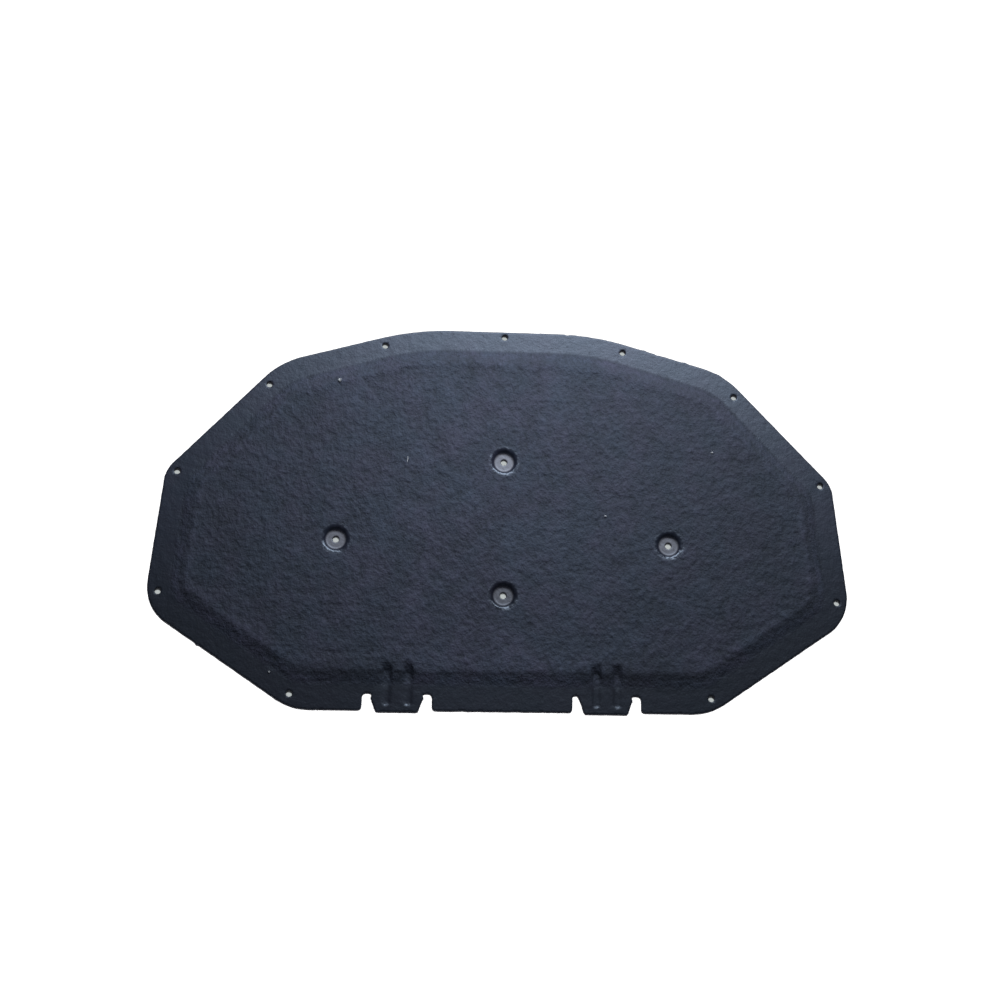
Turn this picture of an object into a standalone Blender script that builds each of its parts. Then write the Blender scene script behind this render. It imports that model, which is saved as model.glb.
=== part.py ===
"""A moulded felt pad that lines the inside of a car's hood.

The pad is one hot-pressed sheet of fibre felt. It lies face up on its flat back, with +X across the
car and +Z out of the moulded face. A thin rim runs all the way round and carries the clip holes. From
the rim a chamfer climbs to a low crest, and inside the crest lies the thick field, with four clip seats
pressed down into it. Two tabs hang from the near edge, each between two notches, and each with two
pressed grooves that run from the tab up into the thick felt.

All lengths are in metres. While the pad is built, Y is measured from the line through the two side
seats, and the finished pad is moved so that its origin is in the middle of its footprint, at its back.
"""

import math

import bmesh
import bpy
from mathutils import Vector

# The outline is made of straight runs that meet at five corners on each side. Each corner has its
# distance from the middle line, its Y, and the radius that rounds it.
FAR_EDGE_Y = 0.405
NEAR_EDGE_Y = -0.300
FAR_CORNER_X = 0.166
FAR_CORNER_RADIUS = 0.480
SHOULDER_X = 0.414
SHOULDER_Y = 0.333
SHOULDER_RADIUS = 0.145
FLANK_FAR_X = 0.608
FLANK_FAR_Y = 0.121
FLANK_FAR_RADIUS = 0.055
FLANK_NEAR_X = 0.6275
FLANK_NEAR_Y = -0.127
FLANK_NEAR_RADIUS = 0.080
NEAR_CORNER_X = 0.3655
NEAR_CORNER_RADIUS = 0.107

# The moulded section, from the cut edge inwards.
RIM_THICKNESS = 0.0035
FIELD_THICKNESS = 0.010
CREST_RISE = 0.0010
RIM_WIDTH = 0.035
NEAR_RIM_WIDTH = 0.040
CHAMFER_WIDTH = 0.032
CHAMFER_ROUNDING = 0.0055
CREST_FALL_WIDTH = 0.010
NEAR_CREST_FALL_WIDTH = 0.052
INNER_CORNER_RADIUS = 0.040
NEAR_FALL_CORNER_RADIUS = 0.180

# The clip holes in the rim. The middle one is nearer the edge, and those in a rounded corner are
# further in. The others are placed by their distance along an edge from one of its corners.
CLIP_HOLE_RADIUS = 0.0058
MIDDLE_CLIP_INSET = 0.0105
CLIP_INSET = 0.0165
CORNER_CLIP_INSET = 0.0205
UPPER_CLIP_FROM_FAR_CORNER = 0.064
FLANK_CLIP_FROM_SHOULDER = 0.045
FLANK_CLIP_FROM_FLANK_FAR = 0.013
SIDE_CLIP_FROM_FLANK_NEAR = 0.030
LOWER_CLIP_FROM_NEAR_CORNER = 0.017

# The four clip seats in the field: two on the middle line and one on each side.
FAR_SEAT_Y = 0.150
NEAR_SEAT_Y = -0.0965
SIDE_SEAT_X = 0.2995
SEAT_FLOOR_THICKNESS = 0.0025
SEAT_FLOOR_RADIUS = 0.0175
SEAT_WALL_DRAFT = 0.0020
SEAT_LIP_RADIUS = 0.0042
SEAT_FOOT_RADIUS = 0.0015
SEAT_HOLE_RADIUS = 0.0060

# The tabs on the near edge, and the notches beside them. A flank has a small tooth where the notch
# undercuts the tab. On the right tab the inner flank is plain.
TAB_X = 0.1830
TAB_DROP = 0.0031
TAB_END_HALF_WIDTH = 0.0363
TAB_TOOTH_HALF_WIDTH = 0.0455
TAB_ROOT_HALF_WIDTH = 0.0430
TAB_PLAIN_ROOT_HALF_WIDTH = 0.0515
TAB_TOOTH_RADIUS = 0.0012
TAB_END_RADIUS = 0.0035
NOTCH_SPAN_HALF_WIDTH = 0.0605
NOTCH_DEPTH = 0.0290
NOTCH_UNDERCUT_DEPTH = 0.0080
NOTCH_WALL_RADIUS = 0.0060
NOTCH_ROOT_RADIUS = 0.0030
NOTCH_MOUTH_RADIUS = 0.0055

# The two grooves pressed into each tab. Their walls lean out to the rim's face, and stand steeper above it.
GROOVE_FROM_TAB_MIDDLE = 0.0185
GROOVE_FLOOR_THICKNESS = 0.0012
GROOVE_FLOOR_HALF_WIDTH = 0.0040
GROOVE_MOUTH_HALF_WIDTH = 0.0075
GROOVE_TOP_HALF_WIDTH = 0.0085
GROOVE_FROM_TAB_END = 0.0070
GROOVE_LENGTH = 0.0830

# How finely the round stretches and the slopes are cut into facets.
CORNER_STEPS = 10
SMALL_CORNER_STEPS = 4
HOLE_STEPS = 28
SEAT_STEPS = 40
SEAT_ARC_STEPS = 5
GROOVE_END_STEPS = 8
CHAMFER_ROUND_STEPS = 3
FALL_STEPS = 4

# A cutter reaches this far past the face that it cuts, a lip's arc ends this far above the field, and
# the raised form is rooted this deep in the rim.
CUT_MARGIN = 0.002
LIP_MARGIN = 0.0002
ROOT_DEPTH = 0.0006
MERGE_DISTANCE = 0.00001
LEVEL_DIGITS = 6

FELT_COLOUR = (0.036, 0.042, 0.058, 1.0)
FELT_ROUGHNESS = 0.95

# The edges of the right half, in order from the far edge to the near edge.
FAR_EDGE, UPPER_EDGE, FLANK_EDGE, SIDE_EDGE, LOWER_EDGE, NEAR_EDGE = range(6)


def remove_all_objects():
    for old in list(bpy.data.objects):
        bpy.data.objects.remove(old, do_unlink=True)


def new_collection(name):
    collection = bpy.data.collections.new(name)
    bpy.context.scene.collection.children.link(collection)
    return collection


def felt_material():
    felt = bpy.data.materials.new("felt")
    felt.use_nodes = True
    shader = felt.node_tree.nodes["Principled BSDF"]
    shader.inputs["Base Color"].default_value = FELT_COLOUR
    shader.inputs["Roughness"].default_value = FELT_ROUGHNESS
    shader.inputs["Metallic"].default_value = 0.0
    felt.diffuse_color = FELT_COLOUR
    return felt


# Plan geometry


def half_corners():
    """The right half's corners, between the middles of the far edge and the near edge."""
    return [
        Vector((0.0, FAR_EDGE_Y)),
        Vector((FAR_CORNER_X, FAR_EDGE_Y)),
        Vector((SHOULDER_X, SHOULDER_Y)),
        Vector((FLANK_FAR_X, FLANK_FAR_Y)),
        Vector((FLANK_NEAR_X, FLANK_NEAR_Y)),
        Vector((NEAR_CORNER_X, NEAR_EDGE_Y)),
        Vector((0.0, NEAR_EDGE_Y)),
    ]


def outline_radii():
    return [
        FAR_CORNER_RADIUS,
        SHOULDER_RADIUS,
        FLANK_FAR_RADIUS,
        FLANK_NEAR_RADIUS,
        NEAR_CORNER_RADIUS,
    ]


def edge_frame(edge):
    """An edge's ends, its direction from the first to the second, and the direction into the pad."""
    start, end = half_corners()[edge : edge + 2]
    along = (end - start).normalized()
    inward = Vector((along.y, -along.x))
    return start, end, along, inward


def crossing(edge, insets):
    """Where an edge meets the next one, when each has moved into the pad by its own inset."""
    start, _, along, inward = edge_frame(edge)
    next_start, _, next_along, next_inward = edge_frame(edge + 1)
    first = start + inward * insets[edge]
    gap = next_start + next_inward * insets[edge + 1] - first
    turn = along.x * next_along.y - along.y * next_along.x
    travel = (gap.x * next_along.y - gap.y * next_along.x) / turn
    return first + along * travel


def mirrored(corners):
    """The left half's rounded corners, in reverse, for those of a right half."""
    return [(Vector((-corner.x, corner.y)), radius, steps) for corner, radius, steps in reversed(corners)]


def arc_at(before, corner, after, radius, steps):
    """The arc that rounds a corner. It takes at most half of the shorter run beside the corner."""
    to_before = (before - corner).normalized()
    to_after = (after - corner).normalized()
    half_angle = to_before.angle(to_after) / 2
    shorter_run = min((before - corner).length, (after - corner).length)
    reach = min(radius / math.tan(half_angle), 0.49 * shorter_run)
    radius = reach * math.tan(half_angle)
    centre = corner + (to_before + to_after).normalized() * (radius / math.sin(half_angle))
    first_spoke = corner + to_before * reach - centre
    last_spoke = corner + to_after * reach - centre
    first_angle = math.atan2(first_spoke.y, first_spoke.x)
    last_angle = math.atan2(last_spoke.y, last_spoke.x)
    sweep = (last_angle - first_angle + math.pi) % (2 * math.pi) - math.pi
    points = []
    for step in range(steps + 1):
        angle = first_angle + sweep * step / steps
        points.append(centre + Vector((math.cos(angle), math.sin(angle))) * radius)
    return points


def rounded(corners):
    """A closed outline from corners that each have a radius and a number of steps."""
    points = []
    for index, (corner, radius, steps) in enumerate(corners):
        before = corners[index - 1][0]
        after = corners[(index + 1) % len(corners)][0]
        points.extend(arc_at(before, corner, after, radius, steps))
    return points


def circle(centre, radius, steps):
    points = []
    for step in range(steps):
        angle = 2 * math.pi * step / steps
        points.append(centre + Vector((math.cos(angle), math.sin(angle))) * radius)
    return points


def slot(half_width, near_y, far_y, x):
    """A closed outline with straight sides along Y and round ends."""
    points = []
    for end_y, first_angle in ((far_y - half_width, 0.0), (near_y + half_width, math.pi)):
        for step in range(GROOVE_END_STEPS + 1):
            angle = first_angle + math.pi * step / GROOVE_END_STEPS
            points.append(Vector((x + half_width * math.cos(angle), end_y + half_width * math.sin(angle))))
    return points


# The rim's outline and its clip holes


def flank_corners(side, has_tooth):
    """One flank of the right tab with the notch beside it, from the notch's mouth to the tab's end."""
    notch_top_y = NEAR_EDGE_Y + NOTCH_DEPTH
    wall_x = TAB_X + side * NOTCH_SPAN_HALF_WIDTH
    corners = [
        (Vector((wall_x, NEAR_EDGE_Y)), NOTCH_MOUTH_RADIUS),
        (Vector((wall_x, notch_top_y)), NOTCH_WALL_RADIUS),
    ]
    if has_tooth:
        root_x = TAB_X + side * TAB_ROOT_HALF_WIDTH
        tooth = Vector((TAB_X + side * TAB_TOOTH_HALF_WIDTH, notch_top_y - NOTCH_UNDERCUT_DEPTH))
        corners.append((Vector((root_x, notch_top_y)), NOTCH_ROOT_RADIUS))
        corners.append((tooth, TAB_TOOTH_RADIUS))
    else:
        root_x = TAB_X + side * TAB_PLAIN_ROOT_HALF_WIDTH
        corners.append((Vector((root_x, notch_top_y)), NOTCH_ROOT_RADIUS))
    end = Vector((TAB_X + side * TAB_END_HALF_WIDTH, NEAR_EDGE_Y - TAB_DROP))
    corners.append((end, TAB_END_RADIUS))
    return corners


def cut_edge_corners(inner_tooth):
    """The right half's corners of the cut edge, from the far corner to the tab's inner notch."""
    body = zip(half_corners()[1:-1], outline_radii())
    tab = flank_corners(1, True) + flank_corners(-1, inner_tooth)[::-1]
    corners = [(corner, radius, CORNER_STEPS) for corner, radius in body]
    return corners + [(corner, radius, SMALL_CORNER_STEPS) for corner, radius in tab]


def rim_outline():
    """The pad's cut edge, with the tabs and the notches."""
    return rounded(cut_edge_corners(inner_tooth=False) + mirrored(cut_edge_corners(inner_tooth=True)))


def clip_hole_centres():
    """The middle hole's centre, then the right side's and the left side's, from far to near."""
    placed = (
        (UPPER_EDGE, UPPER_CLIP_FROM_FAR_CORNER, False, CLIP_INSET),
        (FLANK_EDGE, FLANK_CLIP_FROM_SHOULDER, False, CLIP_INSET),
        (FLANK_EDGE, FLANK_CLIP_FROM_FLANK_FAR, True, CLIP_INSET),
        (SIDE_EDGE, SIDE_CLIP_FROM_FLANK_NEAR, True, CORNER_CLIP_INSET),
        (LOWER_EDGE, LOWER_CLIP_FROM_NEAR_CORNER, True, CORNER_CLIP_INSET),
    )
    centres = [Vector((0.0, FAR_EDGE_Y - MIDDLE_CLIP_INSET))]
    for edge, distance, from_end, inset in placed:
        start, end, along, inward = edge_frame(edge)
        corner = end - along * distance if from_end else start + along * distance
        centre = corner + inward * inset
        centres.append(centre)
        centres.append(Vector((-centre.x, centre.y)))
    return centres


# Solids


def add_object(name, mesh, collection):
    new_object = bpy.data.objects.new(name, mesh)
    collection.objects.link(new_object)
    return new_object


def hide_guide(guide):
    guide.hide_render = True
    guide.display_type = "WIRE"
    return guide


def rim_plate(collection):
    """The felt at rim thickness over the whole outline, with the clip holes, as a mesh."""
    curve = bpy.data.curves.new("rim_outline", "CURVE")
    curve.dimensions = "2D"
    curve.fill_mode = "BOTH"
    curve.extrude = RIM_THICKNESS / 2
    outlines = [rim_outline()]
    outlines += [circle(centre, CLIP_HOLE_RADIUS, HOLE_STEPS) for centre in clip_hole_centres()]
    for outline in outlines:
        spline = curve.splines.new("POLY")
        spline.points.add(len(outline) - 1)
        for point, place in zip(spline.points, outline):
            point.co = (place.x, place.y, 0.0, 1.0)
        spline.use_cyclic_u = True
    outline_object = add_object("rim_outline", curve, collection)
    outline_object.location.z = RIM_THICKNESS / 2
    bpy.context.view_layer.update()
    evaluated = outline_object.evaluated_get(bpy.context.evaluated_depsgraph_get())
    mesh = bpy.data.meshes.new_from_object(evaluated)
    work = bmesh.new()
    work.from_mesh(mesh)
    work.transform(outline_object.matrix_world)
    bmesh.ops.remove_doubles(work, verts=work.verts, dist=MERGE_DISTANCE)
    level = [face for face in work.faces if len({round(vert.co.z, LEVEL_DIGITS) for vert in face.verts}) == 1]
    inside = [edge for edge in work.edges if all(face in level for face in edge.link_faces)]
    bmesh.ops.beautify_fill(work, faces=level, edges=inside)
    work.to_mesh(mesh)
    work.free()
    bpy.data.objects.remove(outline_object, do_unlink=True)
    return mesh


def loft(name, rings, collection):
    """A closed solid through rings of (points, height) that have equal counts of points."""
    work = bmesh.new()
    layers = []
    for points, height in rings:
        layers.append([work.verts.new((point.x, point.y, height)) for point in points])
    count = len(layers[0])
    for lower, upper in zip(layers, layers[1:]):
        for index in range(count):
            following = (index + 1) % count
            work.faces.new((lower[index], lower[following], upper[following], upper[index]))
    work.faces.new(layers[0])
    work.faces.new(layers[-1])
    bmesh.ops.recalc_face_normals(work, faces=work.faces)
    mesh = bpy.data.meshes.new(name)
    work.to_mesh(mesh)
    work.free()
    return hide_guide(add_object(name, mesh, collection))


def eased(share):
    """A smooth rise from 0 to 1 that starts and ends level."""
    return (1 - math.cos(math.pi * share)) / 2


def chamfer_shares():
    """How far across the chamfer each of its rings lies, and how far up: straight, with rounded ends."""
    rounding = min(CHAMFER_ROUNDING / CHAMFER_WIDTH, 0.49)
    slope = 1 / (1 - rounding)
    shares = []
    for step in range(CHAMFER_ROUND_STEPS + 1):
        across = rounding * step / CHAMFER_ROUND_STEPS
        shares.append((across, slope * across**2 / (2 * rounding)))
    return shares + [(1 - across, 1 - up) for across, up in reversed(shares)]


def form_ring(insets, radii):
    corners = [(crossing(edge, insets), radii[edge], CORNER_STEPS) for edge in range(NEAR_EDGE)]
    return rounded(corners + mirrored(corners))


def blend(first, last, share):
    return [a + (b - a) * share for a, b in zip(first, last)]


def raised_form(collection):
    """The thick felt: the chamfer up from the rim, the crest, the fall behind it, and the field."""
    foot = [RIM_WIDTH] * NEAR_EDGE + [NEAR_RIM_WIDTH]
    crest = [inset + CHAMFER_WIDTH for inset in foot]
    field = [inset + CREST_FALL_WIDTH for inset in crest]
    field[NEAR_EDGE] = crest[NEAR_EDGE] + NEAR_CREST_FALL_WIDTH
    foot_radii, crest_radii, field_radii = (
        [max(radius - inset, INNER_CORNER_RADIUS) for radius, inset in zip(outline_radii(), insets)]
        for insets in (foot, crest, field)
    )
    field_radii[LOWER_EDGE] = NEAR_FALL_CORNER_RADIUS
    root_height = RIM_THICKNESS - ROOT_DEPTH
    crest_height = FIELD_THICKNESS + CREST_RISE
    rings = []
    for share, rise in chamfer_shares():
        height = root_height + (crest_height - root_height) * rise
        rings.append((form_ring(blend(foot, crest, share), blend(foot_radii, crest_radii, share)), height))
    for step in range(1, FALL_STEPS + 1):
        share = step / FALL_STEPS
        height = crest_height - CREST_RISE * eased(share)
        rings.append((form_ring(blend(crest, field, share), blend(crest_radii, field_radii, share)), height))
    return loft("raised_form", rings, collection)


def seat_profile():
    """Half of a clip seat's section with its hole, as (radius, height), down its outer side."""
    wall_top_radius = SEAT_FLOOR_RADIUS + SEAT_WALL_DRAFT
    lip_radius = wall_top_radius + SEAT_LIP_RADIUS
    lip_height = FIELD_THICKNESS + LIP_MARGIN - SEAT_LIP_RADIUS
    top = FIELD_THICKNESS + CUT_MARGIN
    points = [(0.0, top), (lip_radius, top)]
    for step in range(SEAT_ARC_STEPS + 1):
        angle = math.pi / 2 * (1 - step / SEAT_ARC_STEPS)
        radius = lip_radius - SEAT_LIP_RADIUS * math.cos(angle)
        points.append((radius, lip_height + SEAT_LIP_RADIUS * math.sin(angle)))
    for step in range(SEAT_ARC_STEPS + 1):
        angle = math.pi / 2 * step / SEAT_ARC_STEPS
        radius = SEAT_FLOOR_RADIUS - SEAT_FOOT_RADIUS * (1 - math.cos(angle))
        points.append((radius, SEAT_FLOOR_THICKNESS + SEAT_FOOT_RADIUS * (1 - math.sin(angle))))
    points.append((SEAT_HOLE_RADIUS, SEAT_FLOOR_THICKNESS))
    points.append((SEAT_HOLE_RADIUS, -CUT_MARGIN))
    points.append((0.0, -CUT_MARGIN))
    return points


def seat_cutter(name, x, y, collection):
    """The space of a clip seat and its hole, turned from its profile."""
    profile = seat_profile()
    mesh = bpy.data.meshes.new(name)
    edges = [(index, index + 1) for index in range(len(profile) - 1)]
    mesh.from_pydata([(radius, 0.0, height) for radius, height in profile], edges, [])
    cutter = hide_guide(add_object(name, mesh, collection))
    cutter.location = (x, y, 0.0)
    screw = cutter.modifiers.new("turn", "SCREW")
    screw.steps = SEAT_STEPS
    screw.render_steps = SEAT_STEPS
    screw.use_merge_vertices = True
    screw.merge_threshold = MERGE_DISTANCE
    weld = cutter.modifiers.new("close_poles", "WELD")
    weld.merge_threshold = MERGE_DISTANCE
    return cutter


def seat_cutters(collection):
    places = {
        "far_seat": (0.0, FAR_SEAT_Y),
        "near_seat": (0.0, NEAR_SEAT_Y),
        "left_seat": (-SIDE_SEAT_X, 0.0),
        "right_seat": (SIDE_SEAT_X, 0.0),
    }
    return [seat_cutter(name, x, y, collection) for name, (x, y) in places.items()]


def groove_cutter(name, x, collection):
    """The space of one tab groove, from its floor to above the crest."""
    near_y = NEAR_EDGE_Y - TAB_DROP + GROOVE_FROM_TAB_END
    sections = (
        (GROOVE_FLOOR_HALF_WIDTH, GROOVE_FLOOR_THICKNESS),
        (GROOVE_MOUTH_HALF_WIDTH, RIM_THICKNESS),
        (GROOVE_TOP_HALF_WIDTH, FIELD_THICKNESS + CREST_RISE + CUT_MARGIN),
    )
    rings = []
    for half_width, height in sections:
        lean = half_width - GROOVE_MOUTH_HALF_WIDTH
        rings.append((slot(half_width, near_y - lean, near_y + GROOVE_LENGTH + lean, x), height))
    return loft(name, rings, collection)


def groove_cutters(collection):
    cutters = []
    for tab_name, tab_x in (("left_tab", -TAB_X), ("right_tab", TAB_X)):
        for groove_name, side in (("left_groove", -1), ("right_groove", 1)):
            name = tab_name + "_" + groove_name
            cutters.append(groove_cutter(name, tab_x + side * GROOVE_FROM_TAB_MIDDLE, collection))
    return cutters


def add_boolean(target, operation, tool):
    boolean = target.modifiers.new(tool.name, "BOOLEAN")
    boolean.operation = operation
    boolean.object = tool
    boolean.solver = "EXACT"


def main():
    remove_all_objects()
    parts = new_collection("hood_insulation_pad")
    guides = new_collection("guides_and_cutters")
    pad = add_object("hood_pad", rim_plate(guides), parts)
    pad.data.materials.clear()
    pad.data.materials.append(felt_material())
    form = raised_form(guides)
    add_boolean(pad, "UNION", form)
    cutters = seat_cutters(guides) + groove_cutters(guides)
    for cutter in cutters:
        add_boolean(pad, "DIFFERENCE", cutter)
    for guide in [form] + cutters:
        guide.parent = pad
    pad.location.y = -(FAR_EDGE_Y + NEAR_EDGE_Y - TAB_DROP) / 2


main()
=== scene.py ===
"""The looks of a moulded felt pad that lines the inside of a car's hood.

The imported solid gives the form. Its back gives the cut edge and the holes, and its face gives the
height of the felt everywhere, so the felt sheet made here lies exactly where the solid is. The sheet
is then given what pressed fibre felt has: worn cut edges, a streaky nap on the thick field, a smooth
pressed rim, loose fibres on the face and along the cut edge, and the lint and small creases of a pad
that has been handled.

All lengths are in metres, in the frame's own axes: +X across the car, +Z out of the moulded face.
"""

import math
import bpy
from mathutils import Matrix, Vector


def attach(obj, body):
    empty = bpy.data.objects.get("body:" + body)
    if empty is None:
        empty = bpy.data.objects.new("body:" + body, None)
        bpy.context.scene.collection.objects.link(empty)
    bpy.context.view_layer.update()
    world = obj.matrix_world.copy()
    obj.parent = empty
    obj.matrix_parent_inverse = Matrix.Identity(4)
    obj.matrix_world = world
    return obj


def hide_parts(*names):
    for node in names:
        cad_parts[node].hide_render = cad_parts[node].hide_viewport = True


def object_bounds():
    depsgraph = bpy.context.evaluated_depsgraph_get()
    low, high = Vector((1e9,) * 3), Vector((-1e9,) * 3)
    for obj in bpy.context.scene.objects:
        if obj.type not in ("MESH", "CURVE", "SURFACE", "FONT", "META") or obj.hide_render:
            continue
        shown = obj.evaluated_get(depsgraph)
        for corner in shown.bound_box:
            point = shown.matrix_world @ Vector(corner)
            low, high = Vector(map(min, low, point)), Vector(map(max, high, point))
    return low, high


bl_info = {
    "name": "Hood Pad Looks",
    "version": (1, 0, 0),
    "blender": (4, 5, 0),
    "location": "3D View > Sidebar > Hood Pad",
    "description": "Dresses a moulded hood pad in fibre felt and sets its studio",
    "category": "Object",
}

import bmesh
import bpy
import numpy as np
from bpy.props import FloatProperty, FloatVectorProperty, IntProperty, PointerProperty
from mathutils import Matrix, Vector, noise
from mathutils.bvhtree import BVHTree
from mathutils.geometry import delaunay_2d_cdt
from mathutils.kdtree import KDTree

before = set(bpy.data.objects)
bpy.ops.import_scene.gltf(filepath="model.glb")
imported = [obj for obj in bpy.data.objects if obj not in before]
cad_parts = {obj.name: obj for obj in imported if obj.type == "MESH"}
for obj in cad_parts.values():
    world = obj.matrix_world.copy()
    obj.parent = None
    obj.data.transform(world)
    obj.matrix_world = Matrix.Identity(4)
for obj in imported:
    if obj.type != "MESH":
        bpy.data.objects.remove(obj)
CAD_LOW, CAD_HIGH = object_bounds()

PAD_NODE = "hood_pad"
BODY = "root"
PIECES = ("moulded_felt", "face_fibres", "edge_fibres", "lint")

# Heights in the solid's section, which tell the pressed rim from the thick field and the crest.
RIM_HEIGHT = 0.0035
FIELD_HEIGHT = 0.0100
CREST_HEIGHT = 0.0110

# The clip seats: their floor, and the circles that the mesh follows from floor to lip. The felt's
# height beside a hole tells the seats' holes from the rim's.
SEAT_FLOOR_HEIGHT = 0.0025
SEAT_RINGS = (0.0083, 0.0108, 0.0132, 0.0154, 0.0168, 0.0178, 0.0188, 0.0198, 0.0210, 0.0224, 0.0240, 0.0262)
BESIDE_HOLE = 0.001

# Where a seat's floor with its painted sheen and its gloss end, where its softened lip starts and ends, and
# how high up its wall the gloss starts. Each is a pair to fade between.
SEAT_SHEEN_RADII = (0.0168, 0.0188)
SEAT_GLOSS_RADII = (0.0250, 0.0290)
SEAT_LIP_INNER = (0.0185, 0.0205)
SEAT_LIP_OUTER = (0.0260, 0.0300)
SEAT_WALL_HEIGHTS = (0.0040, 0.0065)
SEAT_LIP_STEPS = 8

# The grooves pressed into the tabs: where they lie, the outlines that follow their walls, and how far
# from the middle line the felt beside them is whole.
TAB_X = 0.1830
GROOVE_FROM_TAB_MIDDLE = 0.0185
GROOVE_NEAR_Y = -0.34705
GROOVE_FAR_Y = -0.26405
GROOVE_MOUTH_HALF_WIDTH = 0.0075
GROOVE_OUTLINES = (0.0022, 0.0042, 0.0058, 0.0074, 0.0086, 0.0104)
GROOVE_END_STEPS = 9
GROOVE_REACH = 0.0125

# Where the grooves fade out at their far and near ends, and the glossy spot at the near end.
GROOVE_FAR_FADE = (-0.2640, -0.2900)
GROOVE_NEAR_FADE = (-0.3470, -0.3370)
GROOVE_END_Y = -0.3416
GROOVE_END_SIZE = (0.0085, 0.0045)
GROOVE_SMOOTH_STEPS = 8

# How the meshes are made.
JOIN_DISTANCE = 0.00001
CDT_TOLERANCE = 1e-7
CDT_INSIDE = 1
LEVEL_NORMAL = 0.99
RING_STEP = 0.0030
SEAT_RING_STEPS = 44
CLEAR_OF_RINGS = 0.72
RELAX_STEPS = 6
SMOOTH_STEPS = 2
EASING_STEPS = 2
CAST_HEIGHT = 0.05

# What counts as thick felt, by its height. Its edge is spread and then narrowed again to these shares.
THICK_HEIGHTS = (RIM_HEIGHT, FIELD_HEIGHT - 0.001)
LOFT_HEIGHTS = (RIM_HEIGHT + 0.00005, RIM_HEIGHT + 0.0004)
LOFT_SPREAD_STEPS = 5
LOFT_SHARES = (0.05, 0.85)

# Layers of noise: each has a size, a weight and a seed. A layer of the nap has its turn and its shares
# of the nap's length and width instead of a size. The weights of the back and the walls are heights.
SWELL_LAYERS = ((0.110, 1.0, 1.0), (0.042, 0.6, 5.0), (0.019, 0.25, 6.0))
NAP_LAYERS = ((0.0, 1.0, 1.0, 0.6, 20.0), (-0.9, 0.8, 0.9, 0.9, 31.0), (0.0, 1.2, 2.4, 1.1, 52.0))
GRAIN_LAYERS = ((0.0054, 1.9, 44.0),)
WAVER_LAYERS = ((0.016, 1.0, 3.0), (0.006, 0.7, 9.0))
BACK_LAYERS = ((0.02, 0.0001, 60.0),)
WALL_LAYERS = ((0.004, 0.00012, 71.0),)
BACK_INSET = 0.0001
PRESSED_NAP = 0.18
EDGE_RELIEF = 0.3

# The slow drift of the nap's direction: the size of one drift and how far it carries the streaks.
COMB_SIZE = 0.16
COMB_DRIFT = 0.018
COMB_SEEDS = (81.0, 87.0)

# Painted light and shade in the felt's colour: lighter in a broad band about the middle, with painted shade
# beside each tab, a painted highlight on the crest and a painted sheen on the far part of the rim.
PAINTED_LIGHT_MIDDLE = -0.08
PAINTED_LIGHT_HALF_WIDTH = 0.57
TAB_SHADE_SHARE = 1.35
TAB_SHADE_Y = -0.283
TAB_SHADE_SIZE = (0.13, 0.034)
TAB_SHADE_DEPTH = 0.65
CREST_HIGHLIGHT = 0.40
RIM_SHEEN = 2.1
RIM_SHEEN_SHARPNESS = 3
RIM_SHEEN_FROM = (-0.25, 0.05)

# Creases in the felt: start, end, depth and half width. The first is the fold above the left tab. Each
# fades out over a share of its length at both ends.
CREASES = (
    ((-0.335, -0.2545), (-0.195, -0.2535), 0.0009, 0.0042),
    ((-0.288, 0.217), (-0.258, 0.098), 0.0004, 0.0050),
    ((0.040, 0.108), (0.485, 0.109), 0.0003, 0.0060),
)
CREASE_FADE = 0.25

# Where the cut edge is torn back or stands out: place, shift and half length.
EDGE_FLAWS = (
    ((0.1180, 0.3538), (0.0000, -0.0014), 0.0030),
    ((0.1400, 0.3530), (0.0000, -0.0007), 0.0035),
    ((0.2650, 0.3260), (0.0003, 0.0012), 0.0040),
    ((0.2887, 0.3187), (-0.0003, -0.0012), 0.0035),
    ((0.3418, 0.3042), (0.0004, 0.0014), 0.0045),
    ((0.4061, 0.2821), (0.0005, 0.0008), 0.0060),
    ((-0.5324, -0.2417), (-0.0012, -0.0020), 0.0022),
    ((0.1470, -0.3480), (-0.0030, 0.0000), 0.0100),
)


class HoodPadFelt(bpy.types.PropertyGroup):
    """The felt sheet: its mesh, its relief and its colours."""

    spacing: FloatProperty(
        name="Face spacing",
        description="Distance between points on the moulded face",
        default=0.0033,
        unit="LENGTH",
    )
    back_spacing: FloatProperty(
        name="Back spacing",
        description="Distance between points on the flat back",
        default=0.0095,
        unit="LENGTH",
    )
    edge_rounding: FloatProperty(
        name="Edge rounding",
        description="How far the cut edge's corners are worn round",
        default=0.0005,
        unit="LENGTH",
    )
    edge_wander: FloatProperty(
        name="Edge wander",
        description="How far the cut edge strays from its line",
        default=0.00040,
        unit="LENGTH",
    )
    nap_height: FloatProperty(
        name="Nap height",
        description="Height of the streaky nap on the thick field",
        default=0.00046,
        unit="LENGTH",
    )
    nap_length: FloatProperty(
        name="Nap length", description="Length of one streak of the nap", default=0.0100, unit="LENGTH"
    )
    nap_width: FloatProperty(
        name="Nap width", description="Width of one streak of the nap", default=0.0058, unit="LENGTH"
    )
    nap_turn: FloatProperty(
        name="Nap direction",
        description="The streaks' direction, from +X",
        default=math.radians(-46),
        subtype="ANGLE",
    )
    swell_height: FloatProperty(
        name="Swell height",
        description="Height of the slow unevenness of the thick felt",
        default=0.0007,
        unit="LENGTH",
    )
    field_colour: FloatVectorProperty(
        name="Field colour",
        description="The thick felt's colour",
        default=(0.0235, 0.0236, 0.0425),
        subtype="COLOR",
    )
    pressed_colour: FloatVectorProperty(
        name="Pressed colour",
        description="The pressed rim's colour",
        default=(0.0062, 0.0064, 0.0125),
        subtype="COLOR",
    )


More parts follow.
